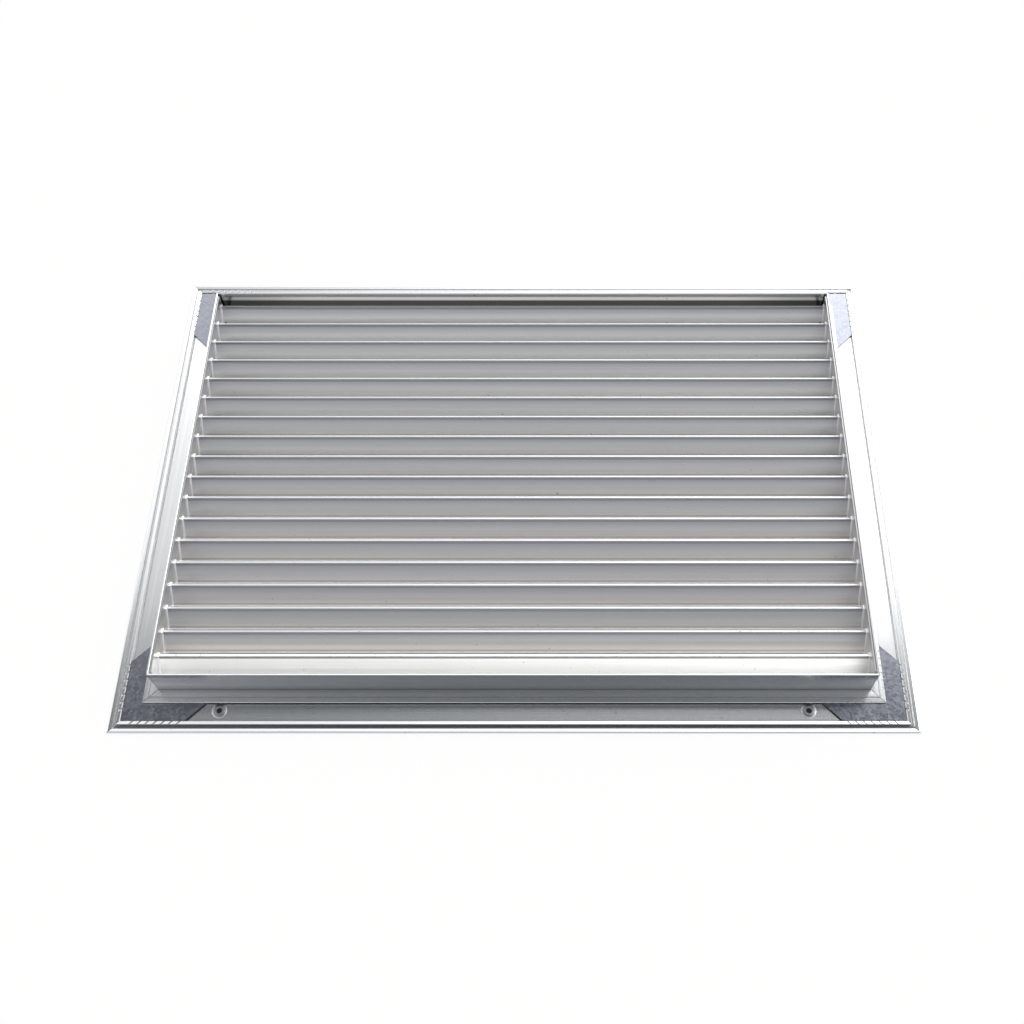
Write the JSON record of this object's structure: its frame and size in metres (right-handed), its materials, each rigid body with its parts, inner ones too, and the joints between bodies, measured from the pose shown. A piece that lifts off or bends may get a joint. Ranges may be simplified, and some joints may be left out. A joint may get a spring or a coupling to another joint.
{
  "type": "return air grille",
  "caption": "Rectangular aluminium return air grille: mitred flanged frame with a duct neck, staked corner plates and fixed 45 degree blades in slotted carriers.",
  "frame": {"origin": "middle of the decorative face, which lies on z = 0", "axes": "+X along the blades, -Y the side towards the viewer, +Z from the face to the duct neck"},
  "size_m": [0.67, 0.47, 0.038],
  "materials": {
    "frame_aluminium": "satin natural anodised extrusion",
    "galvanised_steel": "hot-dip galvanised sheet with faint spangle",
    "carrier_aluminium": "mill finish strip",
    "blade_aluminium": "satin natural anodised extrusion"
  },
  "bodies": {
    "root": {"front_rail": "frame_aluminium", "back_rail": "frame_aluminium", "left_rail": "frame_aluminium", "right_rail": "frame_aluminium", "corner_plate_front_left": "galvanised_steel", "corner_plate_front_right": "galvanised_steel", "corner_plate_back_left": "galvanised_steel", "corner_plate_back_right": "galvanised_steel", "blade_carrier_left": "carrier_aluminium", "blade_carrier_right": "carrier_aluminium", "blade_01": "blade_aluminium", "blade_02": "blade_aluminium", "blade_03": "blade_aluminium", "blade_04": "blade_aluminium", "blade_05": "blade_aluminium", "blade_06": "blade_aluminium", "blade_07": "blade_aluminium", "blade_08": "blade_aluminium", "blade_09": "blade_aluminium", "blade_10": "blade_aluminium", "blade_11": "blade_aluminium", "blade_12": "blade_aluminium", "blade_13": "blade_aluminium", "blade_14": "blade_aluminium", "blade_15": "blade_aluminium", "blade_16": "blade_aluminium", "blade_17": "blade_aluminium", "blade_18": "blade_aluminium"}
  },
  "joints": []
}
